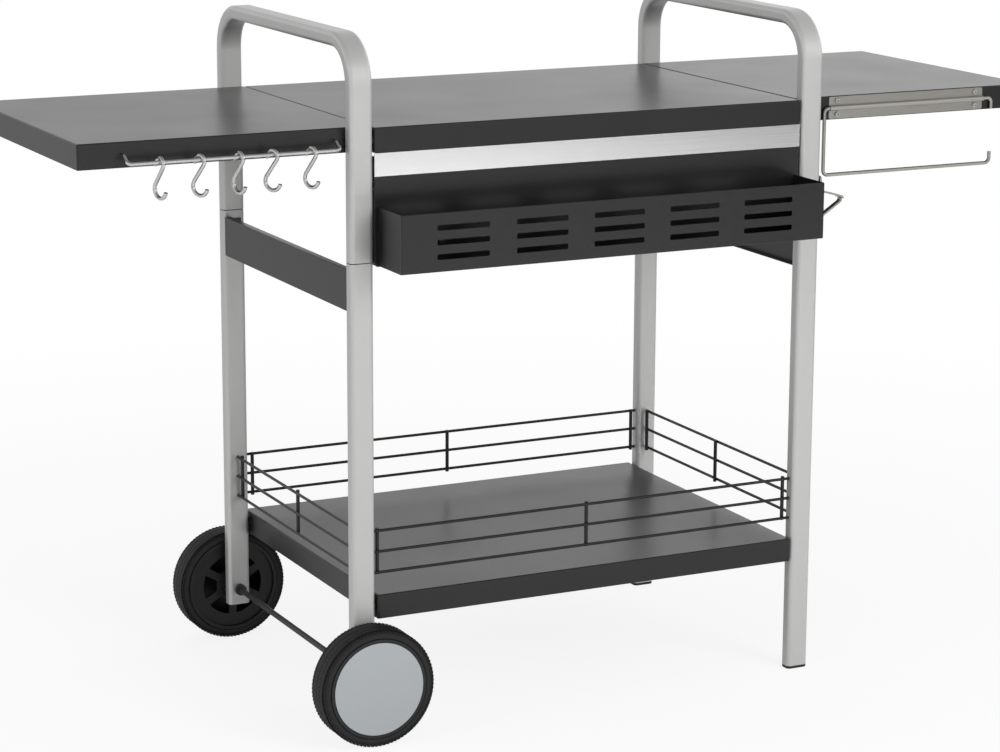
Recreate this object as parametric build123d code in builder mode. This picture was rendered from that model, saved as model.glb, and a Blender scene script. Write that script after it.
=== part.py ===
"""Grill table: a worktop and two side wings on a wheeled tube frame, with a lower shelf and hung accessories.

X runs along the table to the right, Y to the back and Z up. The floor is Z = 0, and the origin is the
middle of the table's footprint on the floor. All sizes are in millimetres.
"""

import os
from math import asin, cos, degrees, radians, sin

from build123d import *

# Frame of flat tube
leg_spacing_x = 660.0
leg_spacing_y = 445.0
tube_width = 32.0
tube_depth = 19.0
tube_corner = 6.0
tube_wall = 1.5
seam_rise = 7.0
seam_gap = 1.2
handle_rise = 116.0
handle_bend = 54.0
connector_length = 60.0
connector_wall = 1.5
slip_clearance = 0.2
foot_thickness = 4.0
foot_plug = 18.0
foot_edge = 1.0
left_leg_tail = 22.0

# Folded sheet trays
sheet = 1.2
tray_depth = 32.0
tray_corner = 2.5
tray_edge = 2.0
tray_lip = 12.0
leg_gap = 2.0
weld_gap = 0.05
seat_clearance = 0.3
worktop_height = 800.0
worktop_setback = 1.0
wing_reach = 349.0
left_wing_seam = 0.5
right_wing_seam = 2.0
shelf_height = 191.0
shelf_overhang = 2.5
stiffener_margin = 30.0
stiffener_width = 40.0
stiffener_depth = 18.0
stiffener_flange = 15.0

# Aprons and side rails
apron_setback = 1.5
apron_height = 146.0
apron_flange = 26.0
apron_corner = 5.0
rear_apron_height = 60.0
strip_height = 30.0
strip_drop = 0.5
strip_thickness = 1.0
strip_edge = 0.3
side_rail_height = 54.0
side_rail_drop = 10.0
side_rail_inset = 2.0
side_rail_lip = 9.0
side_rail_lug = 24.0
side_rail_corner = 2.0
panel_edge = 0.8

# Condiment basket
basket_depth = 73.0
basket_height = 75.0
basket_rise = 2.0
basket_end_inset = 4.0
basket_corner = 1.5
basket_back_height = 40.0
slot_length = 73.0
slot_height = 7.2
slot_corner = 2.0
slot_pitch_x = 111.0
slot_pitch_z = 18.5
slot_columns = 5
slot_rows = 3

# Wire railings round the shelf
railing_wire = 4.0
railing_pitch = 28.0
railing_rise = 27.0
railing_rows = 3
railing_entry = 6.0
railing_upright = 5.0
railing_end_inset = 8.0
upright_margin = 3.0
weld_overlap = 0.8

# Hook rail and its S-hooks
rail_rod = 5.0
rail_length = 279.0
rail_offset = 13.0
rail_standoff = 21.0
rail_drop = 9.0
rail_stub = 6.0
rail_bend = 6.0
rail_tail = 9.0
hook_wire = 5.0
hook_height = 54.5
hook_top_loop = 7.2
hook_low_loop = 11.0
hook_top_gap = 0.3
hook_top_tail = 25.0
hook_low_opening = 165.0
hook_places = (40.5, 92.0, 143.5, 187.5, 239.5)
hook_turns = (18.0, 32.0, 20.0, 36.0, 28.0)

# Towel-roll holder
towel_sheet = 1.2
towel_plate_length = 250.0
towel_plate_height = 30.0
towel_plate_offset = 21.5
towel_plate_corner = 3.0
towel_wire_size = 5.0
towel_axis_standoff = 3.0
running_clearance = 0.06
towel_left_reach = 8.0
towel_right_reach = 14.0
towel_drop = 91.0
towel_stub = 15.0
towel_tip = 16.0
towel_bend = 7.0
towel_screw_inset = 13.0
towel_screw_spacing = 18.5

# Bottle opener
opener_width = 18.0
opener_strut_width = 8.0
opener_strap = 2.5
opener_plate_height = 62.0
opener_plate_rise = 3.5
opener_reach = 46.0
opener_arm_top = 42.0
opener_arm_drop = 12.0
opener_bend = 5.0
opener_foot = 2.0
opener_mouth_length = 17.0
opener_mouth_width = 11.0
opener_mouth_corner = 3.0

# Wheels and axle
wheel_radius = 79.0
wheel_width = 40.0
wheel_gap = 6.0
tyre_thickness = 12.5
press_clearance = 0.1
tyre_shoulder = 11.0
tread_groove_width = 2.5
tread_groove_depth = 2.5
tread_groove_offset = 5.5
rim_wall = 4.5
rim_web_inset = 4.0
rim_web = 4.0
rim_rib = 9.0
rim_cutout = 20.0
spoke_width = 11.0
hub_radius = 15.0
hub_length = 22.0
hubcap_proud = 2.5
hubcap_step = 0.5
hubcap_wall = 2.0
hubcap_lip = 8.0
axle_size = 8.0
axle_bearing_clearance = 0.05
axle_hole_clearance = 0.15
axle_tail = 1.0
axle_washer_radius = 10.0
axle_side_clearance = 0.25
axle_nut_size = 16.0
axle_nut_height = 6.0
axle_washer_thickness = 1.5
collar_radius = 8.0
collar_length = 6.0

# Fasteners
bolt_size = 6.0
bolt_head = 10.0
bolt_head_height = 3.3
bolt_length = 14.0
screw_size = 4.0
screw_head = 7.2
screw_head_height = 2.4
screw_length = 9.0
hole_clearance = 0.2
drill_reach = 5.0
spacer_size = 12.0
wing_bolt_spacing = 16.0
apron_bolt_heights = (11.0, 47.0)
rear_apron_bolt_drop = 30.0
worktop_screw_spacing = 400.0
basket_screw_spacing = 440.0
basket_screw_rise = 25.0
nut_size = 10.0
nut_height = 5.0

# Places that follow from the sizes above
leg_x = leg_spacing_x / 2
leg_y = leg_spacing_y / 2
leg_reach = leg_y + tube_depth / 2
apron_reach = leg_reach - worktop_setback - apron_setback
wheel_reach = leg_reach + wheel_gap + wheel_width + hubcap_proud
middle_y = (apron_reach + basket_depth - wheel_reach) / 2
front_y = middle_y - leg_y
rear_y = middle_y + leg_y
leg_inside = leg_x - tube_width / 2
leg_outside = leg_x + tube_width / 2
front_leg_back = front_y + tube_depth / 2
rear_leg_front = rear_y - tube_depth / 2
tray_half_x = leg_inside - leg_gap
tray_bottom = worktop_height - tray_depth
tray_middle = worktop_height - tray_depth / 2
worktop_front = middle_y - leg_reach + worktop_setback
worktop_rear = rear_leg_front - seat_clearance
wing_front = front_leg_back + seat_clearance
wing_outer = leg_outside + wing_reach
handle_height = worktop_height + handle_rise
apron_face = worktop_front + apron_setback
apron_bottom = tray_bottom - apron_height
seam_height = apron_bottom + seam_rise
rear_apron_face = middle_y + leg_reach - worktop_setback
rear_apron_front = worktop_rear - tray_lip
basket_front = apron_face - basket_depth
basket_bottom = apron_bottom + basket_rise
basket_half_x = tray_half_x - basket_end_inset
basket_inner_half = basket_half_x - sheet - weld_gap
basket_inner_front = basket_front + sheet + weld_gap
basket_inner_back = apron_face - sheet - weld_gap
side_rail_top = seam_height - side_rail_drop
side_rail_middle = side_rail_top - side_rail_height / 2
side_rail_face = leg_outside - side_rail_inset
shelf_front = middle_y - leg_reach - shelf_overhang
shelf_rear = middle_y + leg_reach + shelf_overhang
shelf_middle = shelf_height - tray_depth / 2
wire_heights = [shelf_height + railing_rise + row * railing_pitch for row in range(railing_rows)]
upright_height = wire_heights[-1] - wire_heights[0] + 2 * upright_margin
upright_middle = (wire_heights[0] + wire_heights[-1]) / 2
axle_radius = axle_size / 2
rim_radius = wheel_radius - tyre_thickness
hubcap_radius = rim_radius - rim_wall - press_clearance
rail_left = -leg_outside - rail_offset - rail_length
rail_y = wing_front - rail_standoff
rail_z = tray_middle - rail_drop
towel_left = leg_outside + towel_plate_offset
towel_right = towel_left + towel_plate_length
towel_axis_y = wing_front - towel_axis_standoff
opener_bottom = seam_height + opener_plate_rise


def plane_at(x, y, z, direction):
    """A plane at a point, looking along a direction."""
    return Plane(origin=(x, y, z), z_dir=direction)


# Bearing planes of the fasteners: each lies on the sheet under a head and looks out through the head
tray_end = tray_half_x - sheet
worktop_bolt_planes = [
    plane_at(side * tray_end, front_y, tray_middle, (-side, 0, 0)) for side in (-1, 1)
]
apron_bolt_planes = [
    plane_at(side * tray_end, front_y, tray_bottom - drop, (-side, 0, 0))
    for side in (-1, 1)
    for drop in apron_bolt_heights
] + [
    plane_at(side * tray_end, rear_y, tray_bottom - rear_apron_bolt_drop, (-side, 0, 0))
    for side in (-1, 1)
]
shelf_bolt_planes = [
    plane_at(side * tray_end, y, shelf_middle, (-side, 0, 0))
    for side in (-1, 1)
    for y in (front_y, rear_y)
]
wing_bolt_planes = [
    plane_at(side * leg_x, y, tray_middle + rise * wing_bolt_spacing / 2, (0, inward, 0))
    for side in (-1, 1)
    for y, inward in ((wing_front + sheet, 1), (worktop_rear - sheet, -1))
    for rise in (-1, 1)
]
side_rail_bolt_planes = [
    plane_at(side * leg_x, y, side_rail_middle, (0, inward, 0))
    for side in (-1, 1)
    for y, inward in ((wing_front + sheet, 1), (worktop_rear - sheet, -1))
]
railing_entry_planes = [
    plane_at(side * leg_inside, y, height, (-side, 0, 0))
    for side in (-1, 1)
    for y in (front_y, rear_y)
    for height in wire_heights
] + [
    plane_at(side * leg_x, y, height, (0, inward, 0))
    for side in (-1, 1)
    for y, inward in ((front_leg_back, 1), (rear_leg_front, -1))
    for height in wire_heights
]
worktop_screw_planes = [
    plane_at(side * worktop_screw_spacing / 2, y, tray_bottom - sheet, (0, 0, -1))
    for side in (-1, 1)
    for y in (worktop_front + tray_lip * 2 / 3, worktop_rear - tray_lip / 2)
]
basket_screw_height = basket_bottom + basket_screw_rise
basket_screw_planes = [
    plane_at(side * basket_screw_spacing / 2, apron_face - sheet, basket_screw_height, (0, -1, 0))
    for side in (-1, 1)
]
towel_screw_planes = [
    plane_at(x, wing_front - towel_sheet, tray_middle + rise * towel_screw_spacing / 2, (0, -1, 0))
    for x in (towel_left + towel_screw_inset, towel_right - towel_screw_inset)
    for rise in (-1, 1)
]
opener_screw_planes = [
    plane_at(leg_outside + opener_strap, front_y, opener_bottom + height, (1, 0, 0))
    for height in (opener_arm_top / 2, opener_plate_height - screw_head)
]
rail_nut_planes = [
    plane_at(x, wing_front + sheet, tray_middle, (0, 1, 0)) for x in (rail_left, rail_left + rail_length)
]


def drill(planes, size, depth):
    """Cuts a round hole through the walls at each plane."""
    with Locations(*planes):
        Cylinder(size / 2 + hole_clearance, 2 * depth, mode=Mode.SUBTRACT)


def folded_tray(piece, x_low, x_high, y_low, y_high, top):
    """A sheet tray turned upside down: a top and four sides with a lip turned in below, welded together."""
    middle = ((x_low + x_high) / 2, (y_low + y_high) / 2)
    length = x_high - x_low
    width = y_high - y_low
    with BuildSketch(Plane.XY.offset(top - tray_depth)) as outline:
        with Locations(middle):
            RectangleRounded(length, width, tray_corner)
    extrude(outline.sketch, amount=tray_depth)
    fillet(piece.edges().group_by(Axis.Z)[-1], tray_edge)
    offset(amount=-sheet, openings=piece.faces().sort_by(Axis.Z)[0])
    with BuildSketch(Plane.XY.offset(top - tray_depth)) as lip:
        with Locations(middle):
            RectangleRounded(length, width, tray_corner)
            Rectangle(length - 2 * tray_lip, width - 2 * tray_lip, mode=Mode.SUBTRACT)
    extrude(lip.sketch, amount=sheet)
    with BuildSketch(Plane.XY.offset(top - sheet)) as top_weld:
        with Locations(middle):
            Rectangle(length, width)
    extrude(top_weld.sketch, amount=-weld_gap, mode=Mode.SUBTRACT)
    weld_y = (width + weld_gap) / 2 - tray_lip - weld_gap
    with BuildSketch(Plane.XY.offset(top - sheet)) as corner_welds:
        with Locations(middle):
            with GridLocations(length, 2 * weld_y, 2, 2):
                Rectangle(2 * tray_lip + 2 * sheet, weld_gap)
    extrude(corner_welds.sketch, amount=sheet - tray_depth, mode=Mode.SUBTRACT)


def welded_pan(piece, face, length, height, long_flange, end_flange, corner):
    """A sheet pan: a face plate on a plane and four flanges welded on behind it, notched at the corners."""
    with BuildSketch(face) as plate:
        RectangleRounded(length, height, corner)
    extrude(plate.sketch, amount=-sheet)
    outside = piece.faces().sort_by(Axis(face.origin, face.z_dir))[-1]
    fillet(outside.edges(), panel_edge)
    long_places = [(0, side * (height - sheet) / 2) for side in (-1, 1)]
    end_places = [(side * (length - sheet) / 2, 0) for side in (-1, 1)]
    for depth, places, size in (
        (long_flange, long_places, (length - 2 * corner, sheet)),
        (end_flange, end_places, (sheet, height - 2 * corner)),
    ):
        with BuildSketch(face.offset(-sheet - weld_gap)) as flanges:
            with Locations(*places):
                Rectangle(*size)
        extrude(flanges.sketch, amount=sheet + weld_gap - depth)


def hat_stiffener(length, x_middle, y_middle, top):
    """A hat-section stiffener along X, with its two flanges flat under a tray's top."""
    section = Plane(origin=(x_middle - length / 2, y_middle, top), x_dir=(0, 1, 0), z_dir=(1, 0, 0))
    web = stiffener_width / 2 - sheet / 2
    with BuildSketch(section) as hat:
        with Locations((-web, -stiffener_depth / 2), (web, -stiffener_depth / 2)):
            Rectangle(sheet, stiffener_depth)
        with Locations((0, -stiffener_depth + sheet / 2)):
            Rectangle(stiffener_width, sheet)
        for side in (-1, 1):
            with Locations((side * (stiffener_width / 2 + stiffener_flange / 2 - sheet), -sheet / 2)):
                Rectangle(stiffener_flange, sheet)
    extrude(hat.sketch, amount=length)


def tube_section(width, depth, corner, wall):
    """The section of a flat tube with round corners."""
    RectangleRounded(width, depth, corner)
    RectangleRounded(width - 2 * wall, depth - 2 * wall, corner - wall, mode=Mode.SUBTRACT)


def make_screw(size, head, head_height, length):
    """A round-headed screw with a hexagon socket; the head stands on the plane and the shank goes below."""
    with BuildPart() as screw:
        Cylinder(size / 2, length, align=(Align.CENTER, Align.CENTER, Align.MAX))
        Cylinder(head / 2, head_height, align=(Align.CENTER, Align.CENTER, Align.MIN))
        fillet(screw.edges().group_by(Axis.Z)[-1], head_height * 0.4)
        with BuildSketch(Plane.XY.offset(head_height)):
            RegularPolygon(size * 0.36, 6)
        extrude(amount=-head_height * 0.6, mode=Mode.SUBTRACT)
    return screw.part


def screw_group(screw, planes):
    """Like screws, one at each bearing plane."""
    with BuildPart() as group:
        with Locations(*planes):
            add(screw)
    return group


# Handles: each is one bent tube that forms the upper ends of two legs and the bar over a wing
def make_handle(side):
    with BuildPart() as handle:
        with BuildLine(Plane.YZ.offset(side * leg_x)) as route:
            bar = handle_height - tube_depth / 2
            front_end = (front_y, seam_height)
            rear_end = (rear_y, seam_height)
            FilletPolyline(front_end, (front_y, bar), (rear_y, bar), rear_end, radius=handle_bend)
        with BuildSketch(Plane.XY.offset(seam_height)):
            with Locations((side * leg_x, front_y)):
                tube_section(tube_width, tube_depth, tube_corner, tube_wall)
        sweep(path=route.line)
        side_planes = worktop_bolt_planes + apron_bolt_planes + wing_bolt_planes
        drill([plane for plane in side_planes if plane.origin.X * side > 0], bolt_size, tube_width / 3)
        if side > 0:
            drill(opener_screw_planes, screw_size, tube_width / 3)
    return handle


left_handle = make_handle(-1)
right_handle = make_handle(1)


# Lower legs: straight tubes under the handles, on the floor at the right and on the axle at the left
def make_leg(side, y, bottom):
    with BuildPart() as leg:
        with BuildSketch(Plane.XY.offset(bottom)):
            with Locations((side * leg_x, y)):
                tube_section(tube_width, tube_depth, tube_corner, tube_wall)
        extrude(amount=seam_height - seam_gap - bottom)
        for planes, size in (
            (shelf_bolt_planes + side_rail_bolt_planes, bolt_size),
            (railing_entry_planes, railing_wire),
        ):
            near = [plane for plane in planes if plane.origin.X * side > 0]
            drill([plane for plane in near if abs(plane.origin.Y - y) < tube_depth], size, tube_width / 3)
        if side < 0:
            with Locations(plane_at(-leg_x, y, wheel_radius, (0, 1, 0))):
                Cylinder(axle_radius + axle_hole_clearance, 2 * tube_depth, mode=Mode.SUBTRACT)
    return leg


front_left_leg = make_leg(-1, front_y, wheel_radius - left_leg_tail)
rear_left_leg = make_leg(-1, rear_y, wheel_radius - left_leg_tail)
front_right_leg = make_leg(1, front_y, foot_thickness)
rear_right_leg = make_leg(1, rear_y, foot_thickness)

# Connectors: short tubes inside the legs that join each handle to its lower legs
connector_width = tube_width - 2 * tube_wall - 2 * slip_clearance
connector_depth = tube_depth - 2 * tube_wall - 2 * slip_clearance
connector_corner = tube_corner - tube_wall - slip_clearance
with BuildPart() as leg_connectors:
    with BuildSketch(Plane.XY.offset(seam_height - connector_length / 2)):
        with Locations((0, middle_y)):
            with GridLocations(leg_spacing_x, leg_spacing_y, 2, 2):
                tube_section(connector_width, connector_depth, connector_corner, connector_wall)
    extrude(amount=connector_length)
    drill(opener_screw_planes, screw_size, tube_width / 3)

# Foot caps: plastic caps plugged into the right legs
with BuildPart() as foot_caps:
    with BuildSketch():
        with Locations((leg_x, front_y), (leg_x, rear_y)):
            RectangleRounded(tube_width, tube_depth, tube_corner)
    extrude(amount=foot_thickness)
    fillet(foot_caps.edges().group_by(Axis.Z)[0], foot_edge)
    with BuildSketch(Plane.XY.offset(foot_thickness)):
        with Locations((leg_x, front_y), (leg_x, rear_y)):
            RectangleRounded(connector_width, connector_depth, connector_corner)
    extrude(amount=foot_plug)

# Worktop: the middle tray, held between the front legs and carried on the aprons
with BuildPart() as centre_worktop:
    folded_tray(centre_worktop, -tray_half_x, tray_half_x, worktop_front, worktop_rear, worktop_height)
    drill(worktop_bolt_planes, bolt_size, drill_reach)
    drill(worktop_screw_planes, screw_size, screw_length)

worktop_middle_y = (worktop_front + worktop_rear) / 2
with BuildPart() as worktop_stiffener:
    hat_stiffener(2 * tray_half_x - 2 * stiffener_margin, 0, worktop_middle_y, worktop_height - sheet)


# Wings: the side tables, bolted between the front and rear legs and reaching out past them
def make_wing(side, seam):
    with BuildPart() as wing:
        ends = sorted((side * (tray_half_x + seam), side * wing_outer))
        folded_tray(wing, *ends, wing_front, worktop_rear, worktop_height)
        drill([plane for plane in wing_bolt_planes if plane.origin.X * side > 0], bolt_size, drill_reach)
        if side < 0:
            drill(rail_nut_planes, rail_rod, drill_reach)
        else:
            drill(towel_screw_planes, screw_size, drill_reach)
    return wing


left_wing = make_wing(-1, left_wing_seam)
right_wing = make_wing(1, right_wing_seam)

# Aprons: sheet pans across the front and the back, bolted between the legs under the worktop
with BuildPart() as front_apron:
    middle = (0, apron_face, tray_bottom - apron_height / 2)
    face = Plane(origin=middle, x_dir=(1, 0, 0), z_dir=(0, -1, 0))
    welded_pan(front_apron, face, 2 * tray_half_x, apron_height, apron_flange, apron_flange, apron_corner)
    drill(apron_bolt_planes, bolt_size, drill_reach)
    drill(worktop_screw_planes, screw_size, drill_reach)
    drill(basket_screw_planes, screw_size, drill_reach)

rear_flange = rear_apron_face - rear_apron_front
with BuildPart() as rear_apron:
    middle = (0, rear_apron_face, tray_bottom - rear_apron_height / 2)
    face = Plane(origin=middle, x_dir=(1, 0, 0), z_dir=(0, 1, 0))
    welded_pan(rear_apron, face, 2 * tray_half_x, rear_apron_height, rear_flange, rear_flange, apron_corner)
    drill(apron_bolt_planes, bolt_size, drill_reach)
    drill(worktop_screw_planes, screw_size, drill_reach)

# Stainless strip: a bright facing bonded to the top of the front apron
strip_plane = Plane.XZ.offset(-apron_face)
with BuildPart() as stainless_strip:
    with BuildSketch(strip_plane):
        with Locations((0, tray_bottom - strip_drop - strip_height / 2)):
            Rectangle(2 * tray_half_x, strip_height)
    extrude(amount=strip_thickness)
    fillet(stainless_strip.faces().sort_by(Axis.Y)[0].edges(), strip_edge)

# Condiment basket: an open box of welded sheet plates with slots in its front, screwed to the front apron
basket_middle = basket_bottom + basket_height / 2
end_length = apron_face - basket_inner_front
floor_depth = basket_inner_back - basket_inner_front
with BuildPart() as condiment_basket:
    with BuildSketch(Plane.XZ.offset(-basket_front)) as front_plate:
        with Locations((0, basket_middle)):
            RectangleRounded(2 * basket_half_x, basket_height, basket_corner)
            with GridLocations(slot_pitch_x, slot_pitch_z, slot_columns, slot_rows):
                RectangleRounded(slot_length, slot_height, slot_corner, mode=Mode.SUBTRACT)
    extrude(front_plate.sketch, amount=-sheet)
    fillet(condiment_basket.faces().sort_by(Axis.Y)[0].outer_wire().edges(), panel_edge)
    with Locations((0, basket_inner_front + end_length / 2, basket_middle)):
        with GridLocations(2 * basket_half_x - sheet, 1, 2, 1):
            Box(sheet, end_length, basket_height)
    with Locations((0, basket_inner_front + floor_depth / 2, basket_bottom + sheet / 2)):
        Box(2 * basket_inner_half, floor_depth, sheet)
    with Locations((0, apron_face - sheet / 2, basket_bottom + basket_back_height / 2)):
        Box(2 * basket_inner_half, sheet, basket_back_height)
    drill(basket_screw_planes, screw_size, drill_reach)


# Side rails: sheet pans between the front and rear legs just below the handles' lower ends
def make_side_rail(side):
    middle = (side * side_rail_face, (wing_front + worktop_rear) / 2, side_rail_middle)
    face = Plane(origin=middle, x_dir=(0, 1, 0), z_dir=(side, 0, 0))
    length = worktop_rear - wing_front
    with BuildPart() as rail:
        welded_pan(rail, face, length, side_rail_height, side_rail_lip, side_rail_lug, side_rail_corner)
        drill([plane for plane in side_rail_bolt_planes if plane.origin.X * side > 0], bolt_size, drill_reach)
    return rail


left_side_rail = make_side_rail(-1)
right_side_rail = make_side_rail(1)

# Lower shelf: a tray like the worktop's, bolted between the legs
with BuildPart() as lower_shelf:
    folded_tray(lower_shelf, -tray_half_x, tray_half_x, shelf_front, shelf_rear, shelf_height)
    drill(shelf_bolt_planes, bolt_size, drill_reach)

with BuildPart() as shelf_stiffener:
    hat_stiffener(2 * tray_half_x - 2 * stiffener_margin, 0, middle_y, shelf_height - sheet)


# Railings: welded wire guards whose wires end in holes in the legs, each with three uprights
def make_railing(start, end):
    run = (end - start).normalized()
    across = Vector(0, 0, 1).cross(run)
    length = (end - start).length
    beside = across * ((railing_wire + railing_upright) / 2 - weld_overlap)
    with BuildPart() as railing:
        with BuildSketch(Plane(origin=start - run * railing_entry, x_dir=across, z_dir=run)):
            with Locations(*[(0, height) for height in wire_heights]):
                Circle(railing_wire / 2)
        extrude(amount=length + 2 * railing_entry)
        for place in (railing_end_inset, length / 2, length - railing_end_inset):
            upright = start + run * place + beside
            with Locations((upright.X, upright.Y, upright_middle)):
                Cylinder(railing_upright / 2, upright_height)
    return railing


front_railing = make_railing(Vector(-leg_inside, front_y), Vector(leg_inside, front_y))
rear_railing = make_railing(Vector(leg_inside, rear_y), Vector(-leg_inside, rear_y))
left_railing = make_railing(Vector(-leg_x, rear_leg_front), Vector(-leg_x, front_leg_back))
right_railing = make_railing(Vector(leg_x, front_leg_back), Vector(leg_x, rear_leg_front))

# Hook rail: a bent rod in front of the left wing, with its ends through the wing's side and nuts behind
rail_end_y = wing_front + sheet + rail_tail
rail_right = rail_left + rail_length
with BuildPart() as hook_rail:
    with BuildLine() as route:
        FilletPolyline(
            (rail_left, rail_end_y, tray_middle),
            (rail_left, wing_front - rail_stub, tray_middle),
            (rail_left, rail_y, rail_z),
            (rail_right, rail_y, rail_z),
            (rail_right, wing_front - rail_stub, tray_middle),
            (rail_right, rail_end_y, tray_middle),
            radius=rail_bend,
        )
    with BuildSketch(plane_at(rail_left, rail_end_y, tray_middle, (0, -1, 0))):
        Circle(rail_rod / 2)
    sweep(path=route.line)

with BuildPart() as hook_rail_nuts:
    for nut_plane in rail_nut_planes:
        with BuildSketch(nut_plane):
            RegularPolygon(nut_size / 2, 6, major_radius=False)
            Circle(rail_rod / 2 + hole_clearance, mode=Mode.SUBTRACT)
        extrude(amount=nut_height)


# S-hooks: bent wire hooks that hang on the hook rail, each turned a little about the vertical
def make_hook(place, turn):
    seat = rail_rod / 2 + hook_wire / 2 + hook_top_gap
    top = rail_z + seat - hook_top_loop
    low = rail_z + seat + hook_wire - hook_height + hook_low_loop
    lean = asin((hook_top_loop + hook_low_loop) / (top - low))
    back = Vector(-sin(radians(turn)), cos(radians(turn)), 0)
    hook_plane = Plane(origin=(rail_left + place, rail_y, 0), x_dir=back, z_dir=back.cross(Vector(0, 0, 1)))
    with BuildPart() as hook:
        with BuildLine(hook_plane) as route:
            over = CenterArc((0, top), hook_top_loop, -hook_top_tail, 180 + degrees(lean) + hook_top_tail)
            landing = (hook_low_loop * cos(lean), low + hook_low_loop * sin(lean))
            Line(over @ 1, landing)
            CenterArc((0, low), hook_low_loop, degrees(lean), -degrees(lean) - hook_low_opening)
        with BuildSketch(Plane(origin=route.line @ 0, z_dir=route.line % 0)):
            Circle(hook_wire / 2)
        sweep(path=route.line)
    return hook


s_hooks = [make_hook(place, turn) for place, turn in zip(hook_places, hook_turns)]

# Towel-roll holder: a ridged plate screwed to the right wing's front and a bent wire that turns in its ridge
ridge_inner = towel_wire_size / 2 + running_clearance
ridge_outer = ridge_inner + towel_sheet
with BuildPart() as towel_plate:
    with BuildSketch(Plane.XZ.offset(-wing_front)):
        with Locations(((towel_left + towel_right) / 2, tray_middle)):
            RectangleRounded(towel_plate_length, towel_plate_height, towel_plate_corner)
    extrude(amount=towel_sheet)
    with BuildSketch(Plane(origin=(towel_left, towel_axis_y, tray_middle), x_dir=(0, 1, 0), z_dir=(1, 0, 0))):
        Circle(ridge_outer)
        with Locations((towel_axis_standoff / 2, 0)):
            Rectangle(towel_axis_standoff, 2 * ridge_outer)
        with Locations((towel_axis_standoff + ridge_outer, 0)):
            Rectangle(2 * ridge_outer, 2 * ridge_outer, mode=Mode.SUBTRACT)
    extrude(amount=towel_plate_length)
    with BuildSketch(Plane(origin=(towel_left, towel_axis_y, tray_middle), x_dir=(0, 1, 0), z_dir=(1, 0, 0))):
        Circle(ridge_inner)
        with Locations((towel_axis_standoff / 2, 0)):
            Rectangle(towel_axis_standoff, 2 * ridge_inner)
    extrude(amount=towel_plate_length, mode=Mode.SUBTRACT)
    drill(towel_screw_planes, screw_size, drill_reach)

towel_stub_x = towel_right + towel_right_reach
towel_drop_x = towel_left - towel_left_reach
towel_low = tray_middle - towel_drop
with BuildPart() as towel_wire:
    with BuildLine(Plane.XZ.offset(-towel_axis_y)) as route:
        FilletPolyline(
            (towel_stub_x, tray_middle - towel_stub),
            (towel_stub_x, tray_middle),
            (towel_drop_x, tray_middle),
            (towel_drop_x, towel_low),
            (towel_stub_x, towel_low),
            (towel_stub_x, towel_low + towel_tip),
            radius=towel_bend,
        )
    with BuildSketch(Plane.XY.offset(tray_middle - towel_stub)):
        with Locations((towel_stub_x, towel_axis_y)):
            Circle(towel_wire_size / 2)
    sweep(path=route.line)

# Bottle opener: a steel plate on the front right leg; its upper arm has the mouth and a narrow strut holds it
opener_low = opener_bottom + opener_foot
opener_root = leg_outside + opener_strap / 2
opener_arm = opener_bottom + opener_arm_top
opener_nose = leg_outside + opener_reach - opener_strap / 2
with BuildPart() as bottle_opener:
    with BuildSketch(Plane.YZ.offset(leg_outside)) as plate:
        with Locations((front_y, opener_bottom + opener_plate_height / 2)):
            RectangleRounded(opener_width, opener_plate_height, opener_bend)
    with BuildSketch(Plane.XZ.offset(-front_y)) as bracket:
        with BuildLine():
            nose = (opener_nose, opener_arm - opener_arm_drop)
            FilletPolyline((opener_root, opener_arm), nose, (opener_root, opener_low), radius=opener_bend)
            offset(amount=opener_strap / 2, side=Side.BOTH)
        make_face()
    with BuildSketch(Plane.XZ.offset(-front_y)) as below:
        with BuildLine():
            Polyline(
                (leg_outside, opener_arm - opener_strap),
                (opener_nose, opener_arm - opener_arm_drop - opener_strap),
                (opener_nose, opener_bottom),
                (leg_outside, opener_bottom),
                close=True,
            )
        make_face()
    extrude(bracket.sketch, amount=opener_width / 2, both=True)
    extrude(below.sketch, amount=opener_width, both=True, mode=Mode.SUBTRACT)
    extrude(bracket.sketch, amount=opener_strut_width / 2, both=True)
    extrude(plate.sketch, amount=opener_strap)
    with BuildSketch(Plane.XY.offset(opener_low + opener_arm_top / 2)) as mouth:
        with Locations((leg_outside + opener_mouth_length, front_y)):
            RectangleRounded(opener_mouth_length, opener_mouth_width, opener_mouth_corner)
    extrude(mouth.sketch, amount=opener_arm_top, mode=Mode.SUBTRACT)
    drill(opener_screw_planes, screw_size, opener_strap)

# Axle: a plain rod through the left legs, with collars inside the legs and washers and nuts at the wheels
axle_end = wheel_gap + hub_length + axle_side_clearance + axle_washer_thickness + axle_nut_height + axle_tail
axle_half = leg_reach + axle_end
axle_planes = [
    plane_at(-leg_x, middle_y + side * leg_reach, wheel_radius, (0, side, 0)) for side in (-1, 1)
]
with BuildPart() as axle:
    with Locations(plane_at(-leg_x, middle_y, wheel_radius, (0, 1, 0))):
        Cylinder(axle_radius, 2 * axle_half)

with BuildPart() as axle_collars:
    for plane in axle_planes:
        with BuildSketch(plane.offset(-tube_depth - seat_clearance)):
            Circle(collar_radius)
            Circle(axle_radius + axle_bearing_clearance, mode=Mode.SUBTRACT)
        extrude(amount=-collar_length)

outer_washer = wheel_gap + hub_length + axle_side_clearance
with BuildPart() as wheel_washers:
    for plane in axle_planes:
        for start, thickness in (
            (axle_side_clearance, wheel_gap - 2 * axle_side_clearance),
            (outer_washer, axle_washer_thickness),
        ):
            with BuildSketch(plane.offset(start)):
                Circle(axle_washer_radius)
                Circle(axle_radius + axle_bearing_clearance, mode=Mode.SUBTRACT)
            extrude(amount=thickness)

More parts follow.
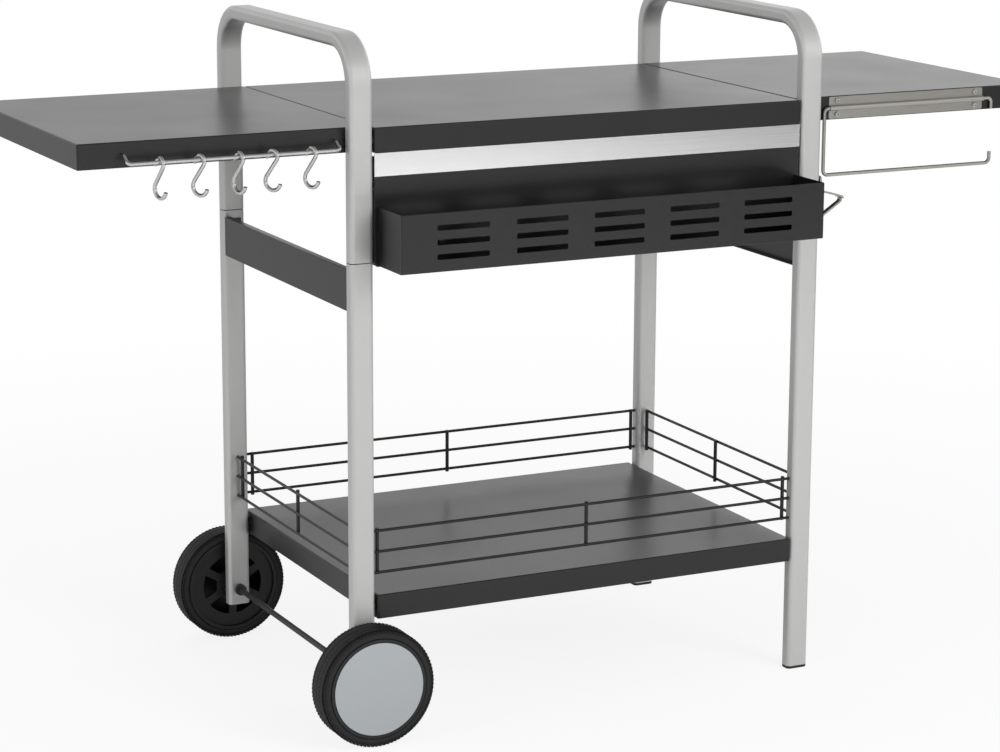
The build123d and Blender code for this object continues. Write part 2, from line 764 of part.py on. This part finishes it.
with BuildPart() as wheel_lock_nuts:
    for plane in axle_planes:
        with BuildSketch(plane.offset(outer_washer + axle_washer_thickness)):
            RegularPolygon(axle_nut_size / 2, 6, major_radius=False)
            Circle(axle_radius + axle_bearing_clearance, mode=Mode.SUBTRACT)
        extrude(amount=axle_nut_height)


# Wheels: a tread ring on a spoked rim that turns on the axle, closed by a plain disc on the outside
def wheel_section(plane):
    """The plane of a wheel's half section: first axis outwards along the axle, second axis up from it."""
    return Plane(origin=plane.origin, x_dir=plane.z_dir, z_dir=plane.z_dir.cross(Vector(0, 0, 1)))


def make_tyre(plane):
    section = wheel_section(plane)
    inner = wheel_gap
    outer = wheel_gap + wheel_width
    shoulder = wheel_radius - tyre_shoulder
    seat = rim_radius + press_clearance
    with BuildPart() as tyre:
        with BuildSketch(section):
            with BuildLine():
                Line((inner, seat), (outer, seat))
                Line((outer, seat), (outer, shoulder))
                CenterArc((outer - tyre_shoulder, shoulder), tyre_shoulder, 0, 90)
                Line((outer - tyre_shoulder, wheel_radius), (inner + tyre_shoulder, wheel_radius))
                CenterArc((inner + tyre_shoulder, shoulder), tyre_shoulder, 90, 90)
                Line((inner, shoulder), (inner, seat))
            make_face()
            with Locations((wheel_gap + wheel_width / 2, wheel_radius)):
                with GridLocations(2 * tread_groove_offset, 1, 2, 1):
                    Rectangle(tread_groove_width, 2 * tread_groove_depth, mode=Mode.SUBTRACT)
        revolve(axis=Axis(section.origin, section.x_dir))
    return tyre


def make_rim(plane):
    section = wheel_section(plane)
    bore = axle_radius + axle_bearing_clearance
    ring = rim_radius - rim_wall
    web = wheel_gap + rim_web_inset
    corner = (Align.MIN, Align.MIN)
    with BuildPart() as rim:
        with BuildSketch(section):
            with Locations((wheel_gap, ring)):
                Rectangle(wheel_width, rim_wall, align=corner)
            with Locations((web, bore)):
                Rectangle(rim_web, ring - bore, align=corner)
            with Locations((wheel_gap, bore)):
                Rectangle(hub_length, hub_radius - bore, align=corner)
        revolve(axis=Axis(section.origin, section.x_dir))
        with BuildSketch(plane.offset(web)):
            Circle(hub_radius + rim_rib + rim_cutout)
            Circle(hub_radius + rim_rib, mode=Mode.SUBTRACT)
            with PolarLocations(0, 3, angular_range=180):
                Rectangle(2 * ring, spoke_width, mode=Mode.SUBTRACT)
        extrude(amount=rim_web, mode=Mode.SUBTRACT)
    return rim


def make_hubcap(plane):
    section = wheel_section(plane)
    edge = wheel_gap + wheel_width + hubcap_step
    crown = wheel_gap + wheel_width + hubcap_proud
    quarter = crown - (crown - edge) / 4
    inside = hubcap_radius - hubcap_wall
    with BuildPart() as hubcap:
        with BuildSketch(section):
            with BuildLine():
                ThreePointArc((crown, 0), (quarter, hubcap_radius / 2), (edge, hubcap_radius))
                Polyline(
                    (edge, hubcap_radius),
                    (edge - hubcap_lip, hubcap_radius),
                    (edge - hubcap_lip, inside),
                    (edge - hubcap_wall, inside),
                    (crown - hubcap_wall, 0),
                    (crown, 0),
                )
            make_face()
        revolve(axis=Axis(section.origin, section.x_dir))
    return hubcap


front_tyre, rear_tyre = [make_tyre(plane) for plane in axle_planes]
front_rim, rear_rim = [make_rim(plane) for plane in axle_planes]
front_hubcap, rear_hubcap = [make_hubcap(plane) for plane in axle_planes]

# Fasteners: spacers that keep the trays off the legs, and like screws and bolts in groups
with BuildPart() as leg_spacers:
    for plane in worktop_bolt_planes + apron_bolt_planes + shelf_bolt_planes:
        with BuildSketch(plane.offset(-sheet)):
            Circle(spacer_size / 2)
            Circle(bolt_size / 2 + hole_clearance, mode=Mode.SUBTRACT)
        extrude(amount=-leg_gap)

bolt = make_screw(bolt_size, bolt_head, bolt_head_height, bolt_length)
screw = make_screw(screw_size, screw_head, screw_head_height, screw_length)
worktop_bolts = screw_group(bolt, worktop_bolt_planes)
apron_bolts = screw_group(bolt, apron_bolt_planes)
shelf_bolts = screw_group(bolt, shelf_bolt_planes)
wing_bolts = screw_group(bolt, wing_bolt_planes)
side_rail_bolts = screw_group(bolt, side_rail_bolt_planes)
worktop_screws = screw_group(screw, worktop_screw_planes)
basket_screws = screw_group(screw, basket_screw_planes)
towel_screws = screw_group(screw, towel_screw_planes)
opener_screws = screw_group(screw, opener_screw_planes)

pieces = {
    "left_handle": left_handle,
    "right_handle": right_handle,
    "front_left_leg": front_left_leg,
    "rear_left_leg": rear_left_leg,
    "front_right_leg": front_right_leg,
    "rear_right_leg": rear_right_leg,
    "leg_connectors": leg_connectors,
    "foot_caps": foot_caps,
    "centre_worktop": centre_worktop,
    "worktop_stiffener": worktop_stiffener,
    "left_wing": left_wing,
    "right_wing": right_wing,
    "front_apron": front_apron,
    "rear_apron": rear_apron,
    "stainless_strip": stainless_strip,
    "condiment_basket": condiment_basket,
    "left_side_rail": left_side_rail,
    "right_side_rail": right_side_rail,
    "lower_shelf": lower_shelf,
    "shelf_stiffener": shelf_stiffener,
    "front_railing": front_railing,
    "rear_railing": rear_railing,
    "left_railing": left_railing,
    "right_railing": right_railing,
    "hook_rail": hook_rail,
    "hook_rail_nuts": hook_rail_nuts,
    "towel_plate": towel_plate,
    "towel_wire": towel_wire,
    "bottle_opener": bottle_opener,
    "axle": axle,
    "axle_collars": axle_collars,
    "wheel_washers": wheel_washers,
    "wheel_lock_nuts": wheel_lock_nuts,
    "front_tyre": front_tyre,
    "front_rim": front_rim,
    "front_hubcap": front_hubcap,
    "rear_tyre": rear_tyre,
    "rear_rim": rear_rim,
    "rear_hubcap": rear_hubcap,
    "leg_spacers": leg_spacers,
    "worktop_bolts": worktop_bolts,
    "apron_bolts": apron_bolts,
    "shelf_bolts": shelf_bolts,
    "wing_bolts": wing_bolts,
    "side_rail_bolts": side_rail_bolts,
    "worktop_screws": worktop_screws,
    "basket_screws": basket_screws,
    "towel_screws": towel_screws,
    "opener_screws": opener_screws,
}
for number, s_hook in enumerate(s_hooks, start=1):
    pieces[f"s_hook_{number}"] = s_hook

os.makedirs("parts", exist_ok=True)
for name, piece in pieces.items():
    piece.part.label = name
    export_step(piece.part, f"parts/{name}.step")
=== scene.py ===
import math

import bpy
from mathutils import Matrix, Vector


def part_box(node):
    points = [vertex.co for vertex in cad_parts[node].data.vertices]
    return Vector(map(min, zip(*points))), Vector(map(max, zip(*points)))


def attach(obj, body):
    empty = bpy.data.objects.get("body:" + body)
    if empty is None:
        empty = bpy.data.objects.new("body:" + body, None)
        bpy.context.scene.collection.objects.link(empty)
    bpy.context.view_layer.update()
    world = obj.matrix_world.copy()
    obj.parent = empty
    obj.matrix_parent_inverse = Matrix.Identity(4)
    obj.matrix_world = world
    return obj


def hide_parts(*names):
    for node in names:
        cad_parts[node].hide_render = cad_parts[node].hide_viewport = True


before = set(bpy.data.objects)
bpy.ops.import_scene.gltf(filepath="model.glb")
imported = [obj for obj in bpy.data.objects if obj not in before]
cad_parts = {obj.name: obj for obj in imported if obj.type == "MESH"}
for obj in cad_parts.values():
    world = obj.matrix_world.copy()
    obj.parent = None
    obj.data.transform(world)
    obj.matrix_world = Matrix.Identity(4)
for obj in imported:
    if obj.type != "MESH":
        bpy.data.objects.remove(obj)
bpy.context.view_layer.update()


# Frame tubes: two bent handles and four straight lower legs of flat steel tube with round corners.
# They carry a silver-grey metallic lacquer with a fine flake, and slide together over hidden connectors.
class Field:
    """A value that varies over a surface; arithmetic on it adds Math nodes to its material."""

    def __init__(self, tree, socket=None):
        self.tree = tree
        self.socket = socket

    def node(self, kind, settings=(), inputs=(), output=0):
        """Adds a node with its settings, links or fills its sockets, and gives one of its outputs."""
        added = self.tree.nodes.new(kind)
        for name, value in dict(settings).items():
            setattr(added, name, value)
        for name, value in dict(inputs).items():
            if isinstance(value, Field):
                self.tree.links.new(value.socket, added.inputs[name])
            else:
                added.inputs[name].default_value = value
        return Field(self.tree, added.outputs[output]) if added.outputs else None

    def part(self, axis):
        """Gives one coordinate of a vector."""
        return self.node("ShaderNodeSeparateXYZ", inputs={0: self}, output=axis)

    def fade(self, start, end, low, high, curve="LINEAR"):
        """Goes from low to high while this field goes from start to end."""
        inputs = {0: self, 1: start, 2: end, 3: low, 4: high}
        return self.node("ShaderNodeMapRange", {"interpolation_type": curve}, inputs)

    def math(self, operation, other):
        return self.node("ShaderNodeMath", {"operation": operation}, {0: self, 1: other})

    def __add__(self, other):
        return self.math("ADD", other)

    def __sub__(self, other):
        return self.math("SUBTRACT", other)

    def __mul__(self, other):
        return self.math("MULTIPLY", other)

    __radd__ = __add__
    __rmul__ = __mul__


class Finish:
    """A material with one shader, whose varying inputs are fields on the piece's own coordinates."""

    def __init__(self, name, metallic=0.0, **constants):
        self.material = bpy.data.materials.new(name)
        self.material.use_nodes = True
        self.tree = self.material.node_tree
        self.shader = self.tree.nodes["Principled BSDF"]
        self.shader.inputs["Metallic"].default_value = metallic
        for socket, value in constants.items():
            self.shader.inputs[socket].default_value = value
        self.place = Field(self.tree).node("ShaderNodeTexCoord", output="Object")

    def noise(self, scale, detail, stretch=(1.0, 1.0, 1.0)):
        """Gives a noise of so many grains per metre, drawn out along the axes with a small stretch."""
        stretched = self.place.node("ShaderNodeMapping", inputs={"Vector": self.place, "Scale": stretch})
        inputs = {"Vector": stretched, "Scale": scale, "Detail": detail}
        return self.place.node("ShaderNodeTexNoise", inputs=inputs)

    def colour(self, amount, low, high):
        """Mixes the base colour from two linear colours."""
        inputs = {0: amount, 6: (*low, 1.0), 7: (*high, 1.0)}
        self.set("Base Color", self.place.node("ShaderNodeMix", {"data_type": "RGBA"}, inputs, output=2))

    def bump(self, height, strength, distance):
        inputs = {"Height": height, "Strength": strength, "Distance": distance}
        self.set("Normal", self.place.node("ShaderNodeBump", inputs=inputs))

    def set(self, socket, field):
        self.tree.links.new(field.socket, self.shader.inputs[socket])

    def coat(self, *nodes):
        """Gives the CAD nodes of these names this finish alone."""
        for node in nodes:
            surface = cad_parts[node].data
            surface.materials.clear()
            surface.materials.append(self.material)


silver = Finish("silver_lacquer", metallic=0.45)
flake = silver.noise(1600.0, 1.0)
drift = silver.noise(9.0, 3.0)
silver.colour(flake * 0.7 + drift * 0.3, (0.46, 0.46, 0.455), (0.585, 0.585, 0.58))
silver.set("Roughness", 0.30 + 0.12 * drift + 0.05 * flake)
silver.bump(flake, 0.06, 0.0003)
silver.coat("left_handle", "right_handle")
silver.coat("front_left_leg", "rear_left_leg", "front_right_leg", "rear_right_leg")

# Trays and pans: folded and welded steel sheet in the worktop, wings, shelf, aprons, side rails and basket.
# All are powder coated in one dark grey with a fine, slightly glossy grain.
powder = Finish("dark_powder_coat", IOR=1.5)
grain = powder.noise(1100.0, 2.0)
cloud = powder.noise(7.0, 3.0)
powder.colour(grain * 0.6 + cloud * 0.4, (0.004, 0.004, 0.0041), (0.012, 0.012, 0.0121))
powder.set("Roughness", 0.24 + 0.08 * cloud + 0.06 * grain)
powder.bump(grain, 0.06, 0.0002)
powder.coat(
    "centre_worktop", "left_wing", "right_wing", "lower_shelf", "front_apron", "rear_apron",
    "left_side_rail", "right_side_rail", "condiment_basket", "worktop_stiffener", "shelf_stiffener",
)

# Bright strip: a thin stainless facing along the top of the front apron.
# It is brushed along its length, so the brush lines are long in X and fine across.
brushed = Finish("brushed_stainless", metallic=1.0)
lines = brushed.noise(1.0, 4.0, (6.0, 900.0, 1500.0))
brushed.colour(lines, (0.83, 0.83, 0.83), (0.96, 0.96, 0.96))
brushed.set("Roughness", 0.15 + 0.10 * lines)
brushed.bump(lines, 0.04, 0.0002)
brushed.coat("stainless_strip")

# Railings: welded steel wire guards with three uprights each, set in holes in the legs.
# They are dipped in a black glossy coat that has run a little before it dried.
black_wire = Finish("black_wire_coat")
runs = black_wire.noise(220.0, 2.0)
black_wire.colour(runs, (0.004, 0.004, 0.0042), (0.010, 0.010, 0.0102))
black_wire.set("Roughness", 0.34 + 0.15 * runs)
black_wire.bump(runs, 0.08, 0.0003)
black_wire.coat("front_railing", "rear_railing", "left_railing", "right_railing")

# Hook rail and S-hooks: a bent steel rod on the left wing and five bent wires that hang from it.
# All have bright chrome plating with a slight haze.
chrome = Finish("chrome_plate", metallic=1.0)
haze = chrome.noise(60.0, 3.0)
chrome.colour(haze, (0.56, 0.56, 0.555), (0.70, 0.70, 0.695))
chrome.set("Roughness", 0.08 + 0.10 * haze)
chrome.coat("hook_rail", "s_hook_1", "s_hook_2", "s_hook_3", "s_hook_4", "s_hook_5")

# Towel-roll holder and bottle opener: a ridged plate, a bent wire and a bent strap.
# They are plain stainless steel with the faint lines that rolling leaves, a little warmer than the strip.
stainless = Finish("plain_stainless", metallic=1.0)
mill = stainless.noise(1.0, 4.0, (20.0, 700.0, 1100.0))
stainless.colour(mill, (0.37, 0.36, 0.33), (0.50, 0.485, 0.45))
stainless.set("Roughness", 0.26 + 0.14 * mill)
stainless.bump(mill, 0.04, 0.0002)
stainless.coat("towel_plate", "towel_wire", "bottle_opener")

# Axle: a plain steel rod through the left legs, blackened, with collars beside the legs.
# The basket's screws are blackened too, since the photograph shows no bright heads through its slots.
dark_steel = Finish("blackened_steel", metallic=0.6)
scuff = dark_steel.noise(90.0, 4.0)
dark_steel.colour(scuff, (0.030, 0.030, 0.032), (0.075, 0.075, 0.077))
dark_steel.set("Roughness", 0.35 + 0.2 * scuff)
dark_steel.coat("axle", "axle_collars", "basket_screws")

# Black plastic: the wheels' moulded rims, the foot caps, the connectors inside the legs
# and the spacer rings between the legs and the trays.
moulded = Finish("black_plastic")
mottle = moulded.noise(700.0, 2.0)
moulded.colour(mottle, (0.004, 0.004, 0.004), (0.009, 0.009, 0.009))
moulded.set("Roughness", 0.38 + 0.14 * mottle)
moulded.bump(mottle, 0.06, 0.0002)
moulded.coat("front_rim", "rear_rim", "foot_caps", "leg_connectors", "leg_spacers")

# Hubcaps: plain discs pressed over the rims.
# Their outside is a pale blue-grey metallic finish; their inside is painted near-black, a painted shade
# that darkens what shows through the rim's windows.
disc = Finish("hubcap_silver", metallic=0.25)
shimmer = disc.noise(1300.0, 1.0)
facing = disc.place.node("ShaderNodeNewGeometry", output="Normal").part("Y")
# Painted shade: faces turned inwards get a near-black colour, so the rim's windows read dark.
unshaded_outside = (facing * disc.place.part("Y")).math("GREATER_THAN", 0.0)
disc.colour(unshaded_outside * (0.88 + 0.12 * shimmer), (0.006, 0.006, 0.006), (0.42, 0.445, 0.46))
disc.set("Roughness", 0.34 + 0.10 * shimmer)
disc.coat("front_hubcap", "rear_hubcap")

# Tyres: solid black rubber rings with round shoulders, pressed on the rims with a groove round the hubcap.
# Six rows of small slanted blocks stand on the tread, two in the middle and two on each shoulder.
rubber = Finish("tyre_rubber")
pores = rubber.noise(500.0, 3.0)
rubber.colour(pores, (0.004, 0.004, 0.004), (0.010, 0.010, 0.010))
rubber.set("Roughness", 0.55 + 0.2 * pores)
rubber.bump(pores, 0.12, 0.0003)

low, high = [Vector(corner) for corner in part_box("front_tyre")]
hub = (low + high) / 2
axle_line = (0.0, 1.0, 0.0)
origin = (0.0, 0.0, 0.0)
wheel_radius = (high.z - low.z) / 2
half_width = (high.y - low.y) / 2
rim_seat = 0.0667
tread_base = wheel_radius - 0.0007
half_way = (tread_base + rim_seat) / 2
round_shoulder = 0.0093
round_bead = 0.0022
seat_margin = 0.0001
bpy.ops.object.select_all(action="DESELECT")
bpy.ops.mesh.primitive_plane_add(size=1.0, enter_editmode=True, location=origin)
front_tyre = bpy.context.object
front_tyre.name = "front_tyre_rubber"
bpy.ops.transform.rotate(value=math.pi / 2, orient_axis="Y", center_override=origin)
section = (1.0, 2 * half_width, tread_base - rim_seat)
bpy.ops.transform.resize(value=section, center_override=origin)
bpy.ops.transform.translate(value=hub + Vector((0.0, 0.0, half_way)))
for lowest, highest, radius, segments in (
    (half_way, wheel_radius, round_shoulder, 7),
    (0.0, rim_seat + seat_margin, round_bead, 4),
):
    bpy.ops.mesh.select_all(action="DESELECT")
    bpy.ops.object.mode_set(mode="OBJECT")
    for corner in front_tyre.data.vertices:
        corner.select = lowest < corner.co.z - hub.z < highest
    bpy.ops.object.mode_set(mode="EDIT")
    bpy.ops.mesh.bevel(offset=radius, segments=segments, affect="VERTICES")
bpy.ops.mesh.select_all(action="SELECT")
bpy.ops.mesh.delete(type="ONLY_FACE")
bpy.ops.mesh.select_all(action="SELECT")
bpy.ops.mesh.spin(steps=120, angle=2 * math.pi, center=hub, axis=axle_line)
bpy.ops.mesh.select_all(action="SELECT")
bpy.ops.mesh.remove_doubles(threshold=0.00001)
bpy.ops.mesh.normals_make_consistent(inside=False)

blocks_round = 90
block_step = 2 * math.pi / blocks_round
block_size = (0.0046, 0.0052, 0.0008)
block_edge = 0.0002
middle_row, middle_slant, shoulder_slant = 0.0046, 0.4, 0.3
rows = [
    (-middle_row, tread_base, 0.0, middle_slant, 0.0),
    (middle_row, tread_base, 0.0, -middle_slant, 0.5),
]
for degrees, stagger in ((22.0, 0.5), (50.0, 0.0)):
    tilt = math.radians(degrees)
    shoulder_y = half_width - round_shoulder + round_shoulder * math.sin(tilt)
    shoulder_z = tread_base - round_shoulder + round_shoulder * math.cos(tilt)
    rows.append((-shoulder_y, shoulder_z, tilt, -shoulder_slant, stagger))
    rows.append((shoulder_y, shoulder_z, -tilt, shoulder_slant, 0.5 - stagger))
for offset, height, lean, slant, stagger in rows:
    seat = hub + Vector((0.0, offset, height))
    bpy.ops.mesh.primitive_cube_add(size=1.0, location=seat)
    bpy.ops.transform.resize(value=block_size, center_override=seat)
    bpy.ops.mesh.bevel(offset=block_edge, segments=1, affect="EDGES")
    bpy.ops.transform.rotate(value=slant, orient_axis="Z", center_override=seat)
    bpy.ops.transform.rotate(value=lean, orient_axis="X", center_override=seat)
    bpy.ops.transform.rotate(value=stagger * block_step, orient_axis="Y", center_override=hub)
    copies = blocks_round - 1
    bpy.ops.mesh.spin(steps=copies, dupli=True, angle=copies * block_step, center=hub, axis=axle_line)
bpy.ops.object.mode_set(mode="OBJECT")
bpy.ops.object.shade_smooth_by_angle(angle=math.radians(35.0))
front_tyre.data.materials.append(rubber.material)

bpy.ops.object.duplicate()
rear_tyre = bpy.context.object
rear_tyre.name = "rear_tyre_rubber"
low, high = [Vector(corner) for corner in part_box("rear_tyre")]
bpy.ops.object.mode_set(mode="EDIT")
bpy.ops.mesh.select_all(action="SELECT")
bpy.ops.transform.translate(value=(low + high) / 2 - hub)
bpy.ops.object.mode_set(mode="OBJECT")
for tyre, node, wheel in (
    (front_tyre, "front_tyre", "front_wheel"),
    (rear_tyre, "rear_tyre", "rear_wheel"),
):
    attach(tyre, wheel)
    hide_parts(node)

# Fasteners: screws, bolts, nuts and washers, most of them on the inner sides of the trays and legs.
# They are zinc plated, with a dull and slightly uneven shine.
zinc = Finish("zinc_plate", metallic=0.9)
plate = zinc.noise(300.0, 3.0)
zinc.colour(plate, (0.42, 0.42, 0.42), (0.56, 0.56, 0.57))
zinc.set("Roughness", 0.30 + 0.2 * plate)
zinc.coat(
    "hook_rail_nuts", "wheel_washers", "wheel_lock_nuts", "worktop_bolts", "apron_bolts", "shelf_bolts",
    "wing_bolts", "side_rail_bolts", "worktop_screws", "towel_screws", "opener_screws",
)

# Floor: a wide pale studio floor that keeps the table's shadow near it and is white farther off.
# Its far right is painted darker for all but camera rays, a painted shade that the bright strip mirrors, so
# that the strip fades to the right.
bpy.ops.object.select_all(action="DESELECT")
bpy.ops.mesh.primitive_plane_add(size=80.0, location=origin)
floor = bpy.context.object
floor.name = "studio_floor"
pale = bpy.data.materials.new("studio_floor")
pale.use_nodes = True
floor.data.materials.append(pale)
pale.node_tree.nodes.clear()
ground = Field(pale.node_tree)
white = (1.0, 1.0, 1.0, 1.0)
spot = ground.node("ShaderNodeTexCoord", output="Object")
reach = ground.node("ShaderNodeVectorMath", {"operation": "LENGTH"}, {0: spot}, output="Value")
whiteness = reach.fade(0.6, 2.6, 0.86, 1.0, "SMOOTHSTEP")
seen = ground.node("ShaderNodeLightPath", output="Is Camera Ray")
# Painted shade: the floor colour darkens from X 1.9 m to 2.9 m, seen only in reflections and bounce light.
painted_floor_shade = spot.part("X").fade(1.9, 2.9, 0.88, 0.25)
matt = ground.node("ShaderNodeBsdfDiffuse", inputs={"Color": painted_floor_shade})
glow = ground.node("ShaderNodeEmission", inputs={"Color": white, "Strength": 1.0})
both = ground.node("ShaderNodeMixShader", inputs={0: whiteness * seen, 1: matt, 2: glow})
ground.node("ShaderNodeOutputMaterial", inputs={"Surface": both})

# Surround: white to the camera, and softer as a light.
# In mirror rays it fades upwards and grows towards the right, as the tops in the photograph show.
world = bpy.data.worlds.new("studio")
bpy.context.scene.world = world
world.use_nodes = True
world.node_tree.nodes.clear()
sky = Field(world.node_tree)
shown = sky.node("ShaderNodeLightPath", output="Is Camera Ray")
glossy = sky.node("ShaderNodeLightPath", output="Is Glossy Ray")
through = sky.node("ShaderNodeLightPath", output="Is Transmission Ray")
way = sky.node("ShaderNodeTexCoord", output="Generated")
mirrored = way.part("Z").fade(0.25, 0.85, 1.0, 0.25) * way.part("X").fade(0.30, 0.56, 0.92, 1.28)
ambient = 0.6
strength = ambient + (1.0 - ambient) * shown + (1.0 - ambient) * through + glossy * (mirrored - ambient)
surround = sky.node("ShaderNodeBackground", inputs={"Color": white, "Strength": strength})
sky.node("ShaderNodeOutputWorld", inputs={"Surface": surround})

# Lamps: a soft key light at the front right and a weaker fill at the left, both aimed at the table.
# Mirror rays don't see them, because they would whiten the dark tops in a view from behind.
aim = Vector((0.0, 0.0, 0.6))
for name, place, size, power in (
    ("key_light", Vector((1.6, -4.2, 2.6)), 2.6, 130.0),
    ("fill_light", Vector((-4.0, -1.2, 1.8)), 2.4, 40.0),
):
    lamp = bpy.data.lights.new(name, "AREA")
    lamp.shape = "DISK"
    lamp.size = size
    lamp.energy = power
    holder = bpy.data.objects.new(name, lamp)
    bpy.context.scene.collection.objects.link(holder)
    holder.location = place
    holder.rotation_euler = (aim - place).to_track_quat("-Z", "Y").to_euler()
    holder.visible_glossy = False

# Camera: a long lens at the front left and a little above, as in the photograph.
# Its place, turn and lens come from a fit to the straight edges of the trays, shelf and legs.
photo_width = 1000.0
focal_pixels = 3026.7
sensor = 36.0
yaw, pitch, roll = 0.4576, 0.2243, 0.0041
stand = (-1.8313, -3.6634, 1.3400)
eye = bpy.data.cameras.new("photo_camera")
eye.sensor_width = sensor
eye.lens = focal_pixels * sensor / photo_width
eye.clip_end = 200.0
camera = bpy.data.objects.new("photo_camera", eye)
bpy.context.scene.collection.objects.link(camera)
ahead = Vector((math.sin(yaw) * math.cos(pitch), math.cos(yaw) * math.cos(pitch), -math.sin(pitch)))
level = Vector((math.cos(yaw), -math.sin(yaw), 0.0))
upright = level.cross(ahead)
across = level * math.cos(roll) + upright * math.sin(roll)
upward = upright * math.cos(roll) - level * math.sin(roll)
turn = Matrix((across, upward, -ahead)).transposed()
camera.matrix_world = Matrix.Translation(stand) @ turn.to_4x4()
bpy.context.scene.camera = camera
bpy.context.scene.view_settings.view_transform = "Standard"
